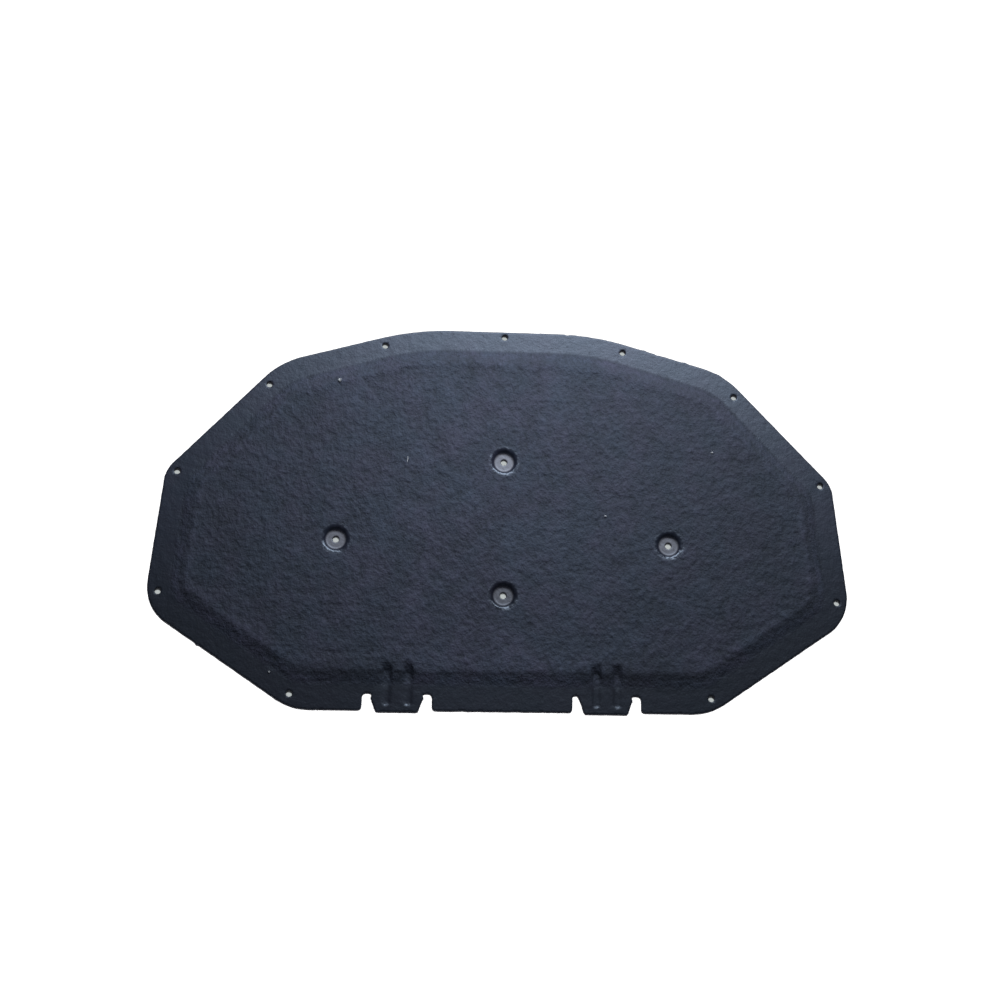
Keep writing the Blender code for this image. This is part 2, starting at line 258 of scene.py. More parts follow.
class HoodPadFibres(bpy.types.PropertyGroup):
    """The loose fibres on the face and along the cut edges."""

    face_count: IntProperty(
        name="Face fibres", description="How many fibres lie on the moulded face", default=6500
    )
    face_length: FloatProperty(
        name="Face fibre length", description="Length of a fibre on the face", default=0.0095, unit="LENGTH"
    )
    edge_count: IntProperty(
        name="Edge fibres", description="How many fibres stand out of the cut edges", default=2600
    )
    edge_length: FloatProperty(
        name="Edge fibre length",
        description="Length of a fibre at the cut edge",
        default=0.0022,
        unit="LENGTH",
    )
    thickness: FloatProperty(
        name="Fibre thickness", description="Thickness of a fibre", default=0.00020, unit="LENGTH"
    )
    colour: FloatVectorProperty(
        name="Fibre colour",
        description="The loose fibres' colour",
        default=(0.034, 0.038, 0.056),
        subtype="COLOR",
    )


class HoodPadLint(bpy.types.PropertyGroup):
    """The specks and the thread of lint that lie on the felt."""

    thread_thickness: FloatProperty(
        name="Thread thickness", description="Thickness of the thread of lint", default=0.0012, unit="LENGTH"
    )
    speck_size: FloatProperty(
        name="Speck size", description="Width of the largest speck of lint", default=0.0064, unit="LENGTH"
    )
    colour: FloatVectorProperty(
        name="Lint colour", description="The lint's colour", default=(0.78, 0.84, 0.90), subtype="COLOR"
    )


class HoodPadStudio(bpy.types.PropertyGroup):
    """The stage: the floor, the lights and the camera."""

    floor_colour: FloatVectorProperty(
        name="Floor colour",
        description="The plain floor's colour",
        default=(0.95, 0.95, 0.95),
        subtype="COLOR",
    )
    # The grey of the patches under the holes, darker than the floor: painted shade on the floor seen through
    # the holes.
    hole_shade_colour: FloatVectorProperty(
        name="Floor in the holes",
        description="The floor's colour as seen through the holes",
        default=(0.56, 0.60, 0.59),
        subtype="COLOR",
    )
    key_power: FloatProperty(
        name="Key power", description="Power of the soft light from the far edge", default=30.0, unit="POWER"
    )
    key_width: FloatProperty(
        name="Key width", description="Width of the soft light from the far edge", default=1.5, unit="LENGTH"
    )
    key_height: FloatProperty(
        name="Key height",
        description="Height of the soft light from the far edge",
        default=0.55,
        unit="LENGTH",
    )
    sky_strength: FloatProperty(
        name="Sky strength", description="Strength of the even light from all round", default=0.07
    )
    floor_strength: FloatProperty(
        name="Floor light", description="Strength of the light that keeps the floor white", default=4.8
    )
    hole_strength: FloatProperty(
        name="Hole light", description="Strength of the light on the floor in the holes", default=4.2
    )


# Plan outlines


def unit(vectors):
    return vectors / np.maximum(np.linalg.norm(vectors, axis=-1, keepdims=True), 1e-12)


def joined_solid():
    """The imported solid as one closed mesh, because the frame's mesh is loose triangles."""
    work = bmesh.new()
    work.from_mesh(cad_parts[PAD_NODE].data)
    bmesh.ops.remove_doubles(work, verts=work.verts, dist=JOIN_DISTANCE)
    return work


def back_loops(work):
    """The closed outlines of the flat back, each with the felt on its right, the longest first."""
    following = {}
    for face in work.faces:
        if face.normal.z > -LEVEL_NORMAL:
            continue
        for corner in face.loops:
            other = [near for near in corner.edge.link_faces if near is not face]
            if any(near.normal.z > -LEVEL_NORMAL for near in other):
                following[corner.vert] = corner.link_loop_next.vert
    loops = []
    while following:
        start, here = next(iter(following.items()))
        loop = [start.co.xy[:]]
        del following[start]
        while here is not start:
            loop.append(here.co.xy[:])
            here = following.pop(here)
        loops.append(np.array(loop))
    return sorted(loops, key=len, reverse=True)


def away_from_felt(loop):
    """The direction out of the felt at each point of a loop."""
    along = unit(np.roll(loop, -1, axis=0) - np.roll(loop, 1, axis=0))
    return np.stack([-along[:, 1], along[:, 0]], axis=1)


def divided(loop, step):
    """The loop with points added so that none are further apart than step."""
    points = []
    for start, end in zip(loop, np.roll(loop, -1, axis=0)):
        count = max(1, math.ceil(np.linalg.norm(end - start) / step))
        points.extend(start + (end - start) * k / count for k in range(count))
    return np.array(points)


def ring(centre, radius, steps, turn=0.0):
    angles = 2 * np.pi * (np.arange(steps) + turn) / steps
    return centre + radius * np.stack([np.cos(angles), np.sin(angles)], axis=1)


def groove_outline(x, half_width):
    """An outline round a groove at x, half_width from the groove's middle line."""
    points = []
    ends = ((GROOVE_FAR_Y - GROOVE_MOUTH_HALF_WIDTH, 0.0), (GROOVE_NEAR_Y + GROOVE_MOUTH_HALF_WIDTH, math.pi))
    for end_y, first in ends:
        for angle in first + np.linspace(0.0, math.pi, GROOVE_END_STEPS):
            points.append((x + half_width * math.cos(angle), end_y + half_width * math.sin(angle)))
    return divided(np.array(points), RING_STEP)


def hex_grid(low, high, spacing):
    """Points at the corners of equal triangles, over the box from low to high."""
    row_step = spacing * math.sqrt(3) / 2
    rows = int((high[1] - low[1]) / row_step) + 1
    columns = int((high[0] - low[0]) / spacing) + 1
    x, y = np.meshgrid(np.arange(columns) * spacing, np.arange(rows) * row_step)
    x = x + spacing / 2 * (np.arange(rows) % 2)[:, None]
    return np.stack([x.ravel() + low[0], y.ravel() + low[1]], axis=1)


def clear_of(points, fixed, distance):
    """Those points that lie further than distance from every fixed point."""
    tree = KDTree(len(fixed))
    for index, place in enumerate(fixed):
        tree.insert((place[0], place[1], 0.0), index)
    tree.balance()
    kept = [tree.find((place[0], place[1], 0.0))[2] > distance for place in points]
    return points[np.array(kept)]


class Plan:
    """A triangulated plan between closed loops. Its loops' points come first, in order."""

    def __init__(self, loops, rings, holes, spacing):
        closed = list(loops) + list(rings)
        fixed = np.concatenate(closed)
        low, high = loops[0].min(axis=0), loops[0].max(axis=0)
        free = clear_of(hex_grid(low, high, spacing), fixed, CLEAR_OF_RINGS * spacing)
        for centre, radius in holes:
            free = free[np.linalg.norm(free - centre, axis=1) > radius]
        ends = np.cumsum([len(loop) for loop in closed])
        runs = [np.arange(end - len(loop), end) for loop, end in zip(closed, ends)]
        edges = [pair for run in runs for pair in zip(run.tolist(), np.roll(run, -1).tolist())]
        places = np.concatenate([fixed, free])
        corners = [Vector(place) for place in places]
        made, _, triangles, sources, _, _ = delaunay_2d_cdt(corners, edges, [], CDT_INSIDE, CDT_TOLERANCE)
        self.places = np.array([place[:] for place in made])
        made_from = np.zeros(len(places), int)
        for index, merged in enumerate(sources):
            made_from[merged] = index
        self.loops = [made_from[run] for run in runs[: len(loops)]]
        self.triangles = self.outside_holes(np.array(triangles))
        self.held = np.zeros(len(self.places), bool)
        self.held[made_from[: len(fixed)]] = True
        self.keep_used()
        self.relax(RELAX_STEPS)

    def outside_holes(self, triangles):
        """The triangles without those that fill a hole, whose corners all lie on that hole's loop."""
        hole_of = np.full(len(self.places), -1)
        for index, loop in enumerate(self.loops[1:]):
            hole_of[loop] = index
        corners = hole_of[triangles]
        filling = (corners[:, 0] >= 0) & (corners == corners[:, :1]).all(axis=1)
        return triangles[~filling]

    def keep_used(self):
        """Drops the points outside the outline."""
        used = np.zeros(len(self.places), bool)
        used[self.triangles.ravel()] = True
        renumbered = np.cumsum(used) - 1
        self.places = self.places[used]
        self.held = self.held[used]
        self.triangles = renumbered[self.triangles]
        self.loops = [renumbered[loop] for loop in self.loops]

    def neighbour_mean(self, values):
        """Each point's mean of its neighbours' values."""
        sides = [self.triangles[:, ends] for ends in ([0, 1], [1, 2], [2, 0])]
        pairs = np.unique(np.sort(np.concatenate(sides), axis=1), axis=0)
        both = np.concatenate([pairs, pairs[:, ::-1]])
        count = np.bincount(both[:, 0], minlength=len(self.places))
        sums = [np.bincount(both[:, 0], column[both[:, 1]], len(self.places)) for column in values.T]
        return np.stack(sums, axis=1) / count[:, None]

    def softened(self, values, steps):
        """The values blended towards their neighbours' mean, over and over."""
        for _ in range(steps):
            values = 0.5 * values + 0.5 * self.neighbour_mean(values[:, None])[:, 0]
        return values

    def relax(self, steps):
        """Evens out the free points between the held ones."""
        for _ in range(steps):
            moved = self.neighbour_mean(self.places)
            self.places[~self.held] = moved[~self.held]


# The felt sheet


def smooth_step(low, high, value):
    share = np.clip((value - low) / (high - low), 0.0, 1.0)
    return share * share * (3 - 2 * share)


def streaks(places, turn, length, width, seed):
    """Noise from about -1 to 1 that is drawn out along one direction."""
    along = places @ np.array([math.cos(turn), math.sin(turn)]) / length
    across = places @ np.array([-math.sin(turn), math.cos(turn)]) / width
    return np.array([noise.noise((u, v, seed)) for u, v in zip(along, across)])


def bumps(places, size, seed):
    return streaks(places, 0.0, size, size, seed)


def layered(places, layers):
    """The sum of bumps that each have a size, a weight and a seed."""
    return sum(weight * bumps(places, size, seed) for size, weight, seed in layers)


class Sheet:
    """What the felt is made from: the solid's outlines, its heights and the places of its seats."""

    def __init__(self, felt):
        work = joined_solid()
        self.tree = BVHTree.FromBMesh(work)
        self.loops = [divided(loop, RING_STEP) for loop in back_loops(work)]
        work.free()
        self.holes = []
        self.seats = []
        for loop in self.loops[1:]:
            centre = loop.mean(axis=0)
            radius = np.linalg.norm(loop - centre, axis=1).mean()
            self.holes.append((centre, radius))
            beside = self.height(centre + (radius + BESIDE_HOLE, 0.0))
            if beside < (SEAT_FLOOR_HEIGHT + RIM_HEIGHT) / 2:
                self.seats.append(centre)
        self.loops[0] = flawed(wandering(eased(self.loops[0]), felt.edge_wander))

    def height(self, place):
        hit = self.tree.ray_cast((place[0], place[1], CAST_HEIGHT), (0.0, 0.0, -1.0))[0]
        return hit.z if hit is not None else RIM_HEIGHT

    def heights(self, places):
        return np.array([self.height(place) for place in places])

    def groove_middles(self):
        return [tab_x + side * GROOVE_FROM_TAB_MIDDLE for tab_x in (-TAB_X, TAB_X) for side in (-1, 1)]

    def level(self, places, heights):
        """The heights without the tabs' grooves, which are bridged from the felt on either side."""
        level = heights.copy()
        for x in self.groove_middles():
            near = np.abs(places[:, 0] - x) < GROOVE_REACH
            near &= places[:, 1] < GROOVE_FAR_Y + GROOVE_REACH
            near &= places[:, 1] > GROOVE_NEAR_Y - GROOVE_REACH
            for index in np.flatnonzero(near):
                beside = [self.height((x + side * GROOVE_REACH, places[index, 1])) for side in (-1, 1)]
                level[index] = max(heights[index], sum(beside) / 2)
        return level

    def rings(self):
        """The outlines that the mesh follows round the seats and the grooves."""
        found = []
        for centre in self.seats:
            for index, radius in enumerate(SEAT_RINGS):
                found.append(ring(centre, radius, SEAT_RING_STEPS, 0.5 * (index % 2)))
        for x in self.groove_middles():
            found.extend(groove_outline(x, half_width) for half_width in GROOVE_OUTLINES)
        return found

    def seat_share(self, places, inner, outer):
        """1 within the inner radius of a seat and 0 outside the outer radius."""
        share = np.zeros(len(places))
        for centre in self.seats:
            distance = np.linalg.norm(places - centre, axis=1)
            share = np.maximum(share, 1 - smooth_step(inner, outer, distance))
        return share


def wandering(loop, distance):
    """The cut edge with the small waver of a die-cut felt edge."""
    shift = layered(loop, WAVER_LAYERS)
    return loop + away_from_felt(loop) * (shift * distance)[:, None]


def eased(loop):
    """The cut edge with its corners rounded a little, as a die leaves them in felt."""
    for _ in range(EASING_STEPS):
        loop = 0.5 * loop + 0.25 * (np.roll(loop, 1, axis=0) + np.roll(loop, -1, axis=0))
    return loop


def flawed(loop):
    """The cut edge with the places where it is torn back or stands out."""
    for place, shift, half_length in EDGE_FLAWS:
        distance = np.linalg.norm(loop - place, axis=1)
        loop = loop + np.exp(-((distance / half_length) ** 2))[:, None] * shift
    return loop


def combed(places):
    """The places with the slow drift that turns the nap's direction across the pad."""
    drift = [bumps(places, COMB_SIZE, seed) for seed in COMB_SEEDS]
    return places + COMB_DRIFT * np.stack(drift, axis=1)


def crease_depth(places):
    """How deep the creases are at each place."""
    depth = np.zeros(len(places))
    for start, end, deepest, half_width in CREASES:
        start, end = np.array(start), np.array(end)
        length = np.linalg.norm(end - start)
        along = (places - start) @ ((end - start) / length) / length
        nearest = start + np.clip(along, 0.0, 1.0)[:, None] * (end - start)
        away = np.linalg.norm(places - nearest, axis=1)
        fade = smooth_step(0.0, CREASE_FADE, along) * smooth_step(0.0, CREASE_FADE, 1 - along)
        depth += deepest * fade * np.exp(-((away / half_width) ** 2))
    return depth


def painted_light(places):
    """Painted light on the felt's colour: lightest in the middle, darker to the sides, and painted shade
    beside the tabs.
    """
    share = np.exp(-(((places[:, 0] - PAINTED_LIGHT_MIDDLE) / PAINTED_LIGHT_HALF_WIDTH) ** 2))
    for tab_x in (-TAB_X, TAB_X):
        off = (places - (tab_x * TAB_SHADE_SHARE, TAB_SHADE_Y)) / TAB_SHADE_SIZE
        share -= TAB_SHADE_DEPTH * np.exp(-((off**2).sum(axis=1) ** 2))
    return share


def relief(places, thickness, felt):
    """How far the face stands off the solid: the slow swell of the thick felt, its nap and its creases."""
    swell = layered(places, SWELL_LAYERS)
    along = combed(places)
    nap = np.zeros(len(places))
    for turn, length, width, weight, seed in NAP_LAYERS:
        turned = felt.nap_turn + turn
        nap += weight * streaks(along, turned, felt.nap_length * length, felt.nap_width * width, seed)
    nap += layered(places, GRAIN_LAYERS)
    lofted = PRESSED_NAP + (1 - PRESSED_NAP) * thickness
    return felt.swell_height * thickness * swell + felt.nap_height * lofted * nap - crease_depth(places)


def face_heights(sheet, face, edge):
    """The face's heights as they are without the grooves, and as they are with them."""
    height = sheet.heights(face.places)
    level = sheet.level(face.places, height)
    groove = face.softened(level - height, GROOVE_SMOOTH_STEPS)
    for fade in (GROOVE_FAR_FADE, GROOVE_NEAR_FADE):
        groove *= smooth_step(*fade, face.places[:, 1])
    level = np.where(edge, level, face.softened(level, SMOOTH_STEPS))
    lips = sheet.seat_share(face.places, *SEAT_LIP_OUTER)
    lips *= 1 - sheet.seat_share(face.places, *SEAT_LIP_INNER)
    level += lips * (face.softened(level, SEAT_LIP_STEPS) - level)
    return level, np.where(edge, height, level - groove)


def face_looks(sheet, face, level, thickness):
    """What the material reads at each point of the face, by name."""
    lofted = face.softened(smooth_step(*LOFT_HEIGHTS, level), LOFT_SPREAD_STEPS)
    glossy = sheet.seat_share(face.places, *SEAT_GLOSS_RADII)
    lofted = np.minimum(smooth_step(*LOFT_SHARES, lofted), 1 - glossy)
    # Painted light in the colour: the seats' floors get a painted sheen, the chamfer and crest a painted
    # highlight, and the far part of the pressed rim a painted sheen.
    crest_highlight = 4 * thickness * (1 - thickness) + smooth_step(FIELD_HEIGHT, CREST_HEIGHT, level)
    rim_sheen = (1 - lofted) ** RIM_SHEEN_SHARPNESS * smooth_step(*RIM_SHEEN_FROM, face.places[:, 1])
    lip = glossy * smooth_step(*SEAT_WALL_HEIGHTS, level)
    for x in sheet.groove_middles():
        off = (face.places - (x, GROOVE_END_Y)) / GROOVE_END_SIZE
        lip += np.exp(-(off**2).sum(axis=1))
    return {
        "pressed": 1 - lofted,
        "seat_sheen": sheet.seat_share(face.places, *SEAT_SHEEN_RADII),
        "lip": lip,
        "painted_light": painted_light(face.places) + CREST_HIGHLIGHT * crest_highlight + RIM_SHEEN * rim_sheen,
    }


def joined_sheet(sheet, face, back, top, bottom, inset):
    """The points and faces of the face and the back, joined by walls along the cut edges."""
    points = [top, bottom]
    first_bottom = len(top)
    faces = face.triangles.tolist() + (back.triangles[:, ::-1] + first_bottom).tolist()
    first = first_bottom + len(bottom)
    for loop, face_loop, back_loop in zip(sheet.loops, face.loops, back.loops):
        count = len(loop)
        bulge = away_from_felt(loop) * layered(loop, WALL_LAYERS)[:, None]
        points.append(np.column_stack([loop + bulge, top[face_loop, 2] - inset]))
        points.append(np.column_stack([loop - bulge, np.full(count, inset)]))
        upper = np.arange(count) + first
        rows = [face_loop, upper, upper + count, back_loop + first_bottom]
        for above, below in zip(rows, rows[1:]):
            quads = np.stack([np.roll(below, -1), below, above, np.roll(above, -1)], axis=1)
            faces.extend(quads.tolist())
        first += 2 * count
    return np.concatenate(points), faces


def felt_sheet_mesh(felt):
    """The felt as one closed mesh: the moulded face, the worn cut edges and the back."""
    sheet = Sheet(felt)
    inset = felt.edge_rounding
    face_loops = [loop - away_from_felt(loop) * inset for loop in sheet.loops]
    face = Plan(face_loops, sheet.rings(), sheet.holes, felt.spacing)
    back = Plan(face_loops, [], sheet.holes, felt.back_spacing)

    edge = np.zeros(len(face.places), bool)
    edge[np.concatenate(face.loops)] = True
    level, height = face_heights(sheet, face, edge)
    thickness = smooth_step(*THICK_HEIGHTS, level)
    stand_off = relief(face.places, thickness, felt) * np.where(edge, EDGE_RELIEF, 1.0)
    top = np.column_stack([face.places, height + stand_off])
    bottom = np.column_stack([back.places, BACK_INSET + layered(back.places, BACK_LAYERS)])
    bottom[np.concatenate(back.loops), 2] = 0.0

    points, faces = joined_sheet(sheet, face, back, top, bottom, inset)
    mesh = bpy.data.meshes.new("moulded_felt")
    mesh.from_pydata(points.tolist(), [], faces)
    for name, values in face_looks(sheet, face, level, thickness).items():
        add_attribute(mesh, name, values, len(points))
    mesh.shade_smooth()
    return mesh


def add_attribute(mesh, name, values, count):
    """A value for each of the first points, and 0 for the rest of the count."""
    filled = np.zeros(count, np.float32)
    filled[: len(values)] = values
    mesh.attributes.new(name, "FLOAT", "POINT").data.foreach_set("value", filled)


# Fibres

# A fibre's section, and its girth at each share of its length.
STRAND_SIDES = 3
STRAND_SHARES = np.array((0.0, 0.25, 0.5, 0.75, 1.0))
STRAND_GIRTHS = (0.35, 0.9, 1.0, 0.8, 0.3)

# How fibres differ: girths and lengths as shares, and the spread of their turns and bends.
FIBRE_SEED = 12
GIRTH_SHARES = (0.6, 1.3)
FACE_LENGTH_SHARES = (0.5, 1.3)
EDGE_LENGTH_SHARES = (0.5, 1.4)
TURN_SPREAD = 0.8
FACE_BEND_SPREAD = 0.7
EDGE_BEND_SPREAD = 1.0

# A fibre on the face has its ends sunk in and its middle off the felt. A fibre at the cut edge is rooted
# in the felt, clear of both faces, and droops by a share of its length.
FACE_SINK = 0.00012
FACE_ARCH = 0.00016
EDGE_ROOT = 0.0006
EDGE_DROOP_SPREAD = 0.25
EDGE_HEIGHTS = (0.0003, RIM_HEIGHT + 0.0010)


def strand_template():
    """One straight fibre of unit length and thickness along +X, modelled once for all the fibres."""
    bpy.ops.object.select_all(action="DESELECT")
    bpy.ops.mesh.primitive_circle_add(
        vertices=STRAND_SIDES,
        radius=STRAND_GIRTHS[0] / 2,
        fill_type="NGON",
        rotation=(0.0, math.pi / 2, 0.0),
        enter_editmode=True,
    )
    for step, girth, next_girth in zip(np.diff(STRAND_SHARES).tolist(), STRAND_GIRTHS, STRAND_GIRTHS[1:]):
        bpy.ops.mesh.extrude_region_move(TRANSFORM_OT_translate={"value": (step, 0.0, 0.0)})
        swell = next_girth / girth
        bpy.ops.transform.resize(value=(1.0, swell, swell))
    bpy.ops.mesh.select_all(action="SELECT")
    bpy.ops.mesh.normals_make_consistent(inside=False)
    bpy.ops.object.mode_set(mode="OBJECT")
    template = bpy.context.object
    bpy.ops.object.transform_apply(location=True, rotation=True, scale=True)
    return template


def strands_mesh(name, paths, girths):
    """One mesh of many fibres. Each path has one point for each of the fibre template's shares."""
    template = strand_template()
    places = np.array([vertex.co[:] for vertex in template.data.vertices])
    polygons = [np.array(polygon.vertices) for polygon in template.data.polygons]
    bpy.data.meshes.remove(template.data)
    along = unit(paths[:, -1] - paths[:, 0])
    side = unit(np.cross((0.0, 0.0, 1.0), along) + (0.0, 1e-9, 0.0))
    over = np.cross(along, side)
    station = np.array([int(np.argmin(abs(STRAND_SHARES - x))) for x in places[:, 0]])
    spread = places[:, 1, None] * side[:, None, :] + places[:, 2, None] * over[:, None, :]
    points = paths[:, station] + spread * girths[:, None, None]
    firsts = np.arange(len(paths)) * len(places)
    faces = []
    for polygon in polygons:
        faces.extend((polygon + firsts[:, None]).tolist())
    mesh = bpy.data.meshes.new(name)
    mesh.from_pydata(points.reshape(-1, 3).tolist(), [], faces)
    mesh.shade_smooth()
    return mesh


def bent_paths(starts, turns, lengths, bends):
    """Plan paths of fibres that start at a place, run along a turn and bend to one side."""
    turn = turns[:, None] + bends[:, None] * (STRAND_SHARES - 0.5)
    step = np.diff(STRAND_SHARES, prepend=0.0) * lengths[:, None]
    x = starts[:, :1] + np.cumsum(step * np.cos(turn), axis=1)
    y = starts[:, 1:] + np.cumsum(step * np.sin(turn), axis=1)
    return np.stack([x, y], axis=2)


def surface_of(piece):
    """The face of a finished piece, to lay things on."""
    points = [vertex.co[:] for vertex in piece.data.vertices]
    return BVHTree.FromPolygons(points, [tuple(face.vertices) for face in piece.data.polygons])


def laid_paths(surface, plan_paths, sink, arch):
    """The plan paths laid on the surface with their ends sunk in, without those that run off the felt."""
    kept = []
    lift = -sink + (sink + arch) * np.sin(np.pi * STRAND_SHARES)
    for path in plan_paths:
        hits = [surface.ray_cast((x, y, CAST_HEIGHT), (0.0, 0.0, -1.0))[0] for x, y in path]
        if all(hit is not None and hit.z > SEAT_FLOOR_HEIGHT / 2 for hit in hits):
            kept.append([(hit.x, hit.y, hit.z + rise) for hit, rise in zip(hits, lift)])
    return np.array(kept)


def face_fibre_paths(surface, fibres, felt, draw):
    """Fibres that lie on the face, more of them along the nap than across it."""
    count = fibres.face_count
    low, high = np.array(CAD_LOW[:2]), np.array(CAD_HIGH[:2])
    starts = low + draw.random((count * 2, 2)) * (high - low)
    turns = felt.nap_turn + draw.normal(0.0, TURN_SPREAD, len(starts))
    lengths = fibres.face_length * draw.uniform(*FACE_LENGTH_SHARES, len(starts))
    bends = draw.normal(0.0, FACE_BEND_SPREAD, len(starts))
    paths = laid_paths(surface, bent_paths(starts, turns, lengths, bends), FACE_SINK, FACE_ARCH)
    return paths[:count]


def edge_fibre_paths(loops, fibres, draw):
    """Fibres that stand out of the cut edges, from within the felt's thickness."""
    paths = []
    lengths_round = np.array([len(loop) for loop in loops], float)
    for loop, share in zip(loops, lengths_round / lengths_round.sum()):
        outward = away_from_felt(loop)
        count = int(fibres.edge_count * share)
        for place in draw.integers(0, len(loop), count):
            across = math.atan2(outward[place, 1], outward[place, 0]) + draw.normal(0.0, TURN_SPREAD)
            length = fibres.edge_length * draw.uniform(*EDGE_LENGTH_SHARES)
            start = loop[place] - outward[place] * EDGE_ROOT
            bend = draw.normal(0.0, EDGE_BEND_SPREAD, 1)
            plan_path = bent_paths(start[None], np.array([across]), np.array([length]), bend)[0]
            height = draw.uniform(EDGE_ROOT, RIM_HEIGHT - EDGE_ROOT)
            droop = draw.normal(0.0, EDGE_DROOP_SPREAD) * length
            z = np.clip(height + droop * STRAND_SHARES**2, *EDGE_HEIGHTS)
            paths.append(np.column_stack([plan_path, z]))
    return np.array(paths)


# Lint: the thread, and the specks, each with its place and its share of the largest one's size. What a
# speck's strands are like is given in shares of its size.
THREAD_PLACE = (-0.1769, 0.0922)
THREAD_LENGTH = 0.0130
THREAD_TURN = math.radians(80)
THREAD_BEND = 0.5
SPECKS = (
    ((-0.3036, 0.2468), 1.0),
    ((0.1842, 0.0005), 0.55),
    ((-0.4045, -0.2883), 0.60),
    ((0.3848, 0.1260), 0.50),
)
LINT_SEED = 5
STRANDS_IN_SPECK = 36
SPECK_SPREAD = 1 / 4
SPECK_CRUMPLE = 1 / 12
SPECK_RISE = 1 / 3
SPECK_ARCH = 1 / 5
SPECK_GIRTH = 1 / 9


def lint_paths(surface, lint, draw):
    """The thread's path, then the paths of the short curled strands that make up each speck."""
    drawn = [np.array([value]) for value in (THREAD_PLACE, THREAD_TURN, THREAD_LENGTH, THREAD_BEND)]
    thread = laid_paths(surface, bent_paths(*drawn), 0.0, lint.thread_thickness)
    paths = [thread[0]]
    girths = [lint.thread_thickness]
    for place, share in SPECKS:
        size = lint.speck_size * share
        middle = surface.ray_cast((*place, CAST_HEIGHT), (0.0, 0.0, -1.0))[0]
        for _ in range(STRANDS_IN_SPECK):
            ends = draw.normal(0.0, size * SPECK_SPREAD, (2, 2))
            way = ends[0] + (ends[1] - ends[0]) * STRAND_SHARES[:, None]
            way += draw.normal(0.0, size * SPECK_CRUMPLE, way.shape)
            arch = np.sin(np.pi * STRAND_SHARES) * size * SPECK_ARCH
            z = draw.uniform(0.0, size * SPECK_RISE) + arch
            paths.append(np.column_stack([way + place, z + middle.z]))
            girths.append(size * SPECK_GIRTH)
    return np.array(paths), np.array(girths)


# Materials

# The colour painted on the seats' floors, much lighter than the felt: a painted sheen, and how much of it
# shows.
SEAT_SHEEN_COLOUR = (0.084, 0.088, 0.105, 1.0)
SEAT_SHEEN_SHARE = 0.85
HUE_SHIFT = (0.80, 1.05, 0.98)
HUE_RANGE = (0.4, 0.6)

# The felt's noises. An even one has a scale, a detail and a roughness. One along the nap has a scale for
# each axis and a turn from the nap's direction, and all of them share a detail and a roughness.
EVEN_NOISES = {
    "cloud": (16.0, 3.0, 0.6),
    "hue": (11.0, 3.0, 0.65),
    "patch": (60.0, 2.0, 0.6),
    "tuft": (330.0, 2.0, 0.6),
    "fuzz": (650.0, 2.0, 0.6),
}
NAP_NOISES = {
    "streak": ((100.0, 210.0, 150.0), 0.0),
    "streak_across": ((120.0, 200.0, 150.0), 0.7),
    "fibre": ((170.0, 900.0, 900.0), 0.0),
    "fibre_across": ((160.0, 900.0, 900.0), 1.3),
}
NAP_NOISE_DETAIL = (2.0, 0.6)

# Each noise's weight in the shading and in the bump, and how much of both is left where the felt is pressed.
SHADE_WEIGHTS = {"cloud": 1.2, "patch": 1.6, "streak": 1.0, "streak_across": 1.0, "tuft": 1.7, "fuzz": 0.9}
BUMP_WEIGHTS = {
    "patch": 2.6,
    "streak": 0.6,
    "streak_across": 0.9,
    "tuft": 0.9,
    "fibre": 0.15,
    "fibre_across": 0.15,
    "fuzz": 0.25,
}
BUMP_DISTANCE = 0.0011
PRESSED_CALM = 0.24

# How much of the colour is left where no painted light is added, and how much the painted light adds.
PAINTED_LIGHT_BASE = 0.35
PAINTED_LIGHT_GAIN = 0.65

# The light fibres in the felt: the parts of two noises that make them, and how strongly they show.
LIGHT_FIBRE_RANGES = {"fibre": (0.62, 0.78), "fibre_across": (0.66, 0.82)}
LIGHT_FIBRE_COLOUR = (0.055, 0.062, 0.085, 1.0)
LIGHT_FIBRE_SHARE = 0.35
LIGHT_FIBRE_MOST = 0.5

# The felt's gloss: rough on the nap, less so where pressed, less again at a lip, and uneven by the fuzz.
NAP_ROUGHNESS = 0.77
PRESSED_ROUGHNESS = 0.53
LIP_ROUGHNESS = -0.18
FUZZ_ROUGHNESS = 0.04
FELT_SPECULAR = 0.84
FELT_SPECULAR_TINT = (0.62, 0.77, 1.0, 1.0)

# The patches of the strands and of the floor: scale, roughness, and the darkest and lightest shade. The
# middle part of a noise covers most of its values.
STRAND_PATCHES = (140.0, 0.7, (0.4, 1.6))
STRAND_SPECULAR = 0.3
FIBRE_ROUGHNESS = 0.6
LINT_ROUGHNESS = 0.8
FLOOR_PATCHES = (3.0, 0.5, (0.99, 1.0))
FLOOR_ROUGHNESS = 0.9
PATCH_DETAIL = 2.0
NOISE_MIDDLE = (0.3, 0.7)


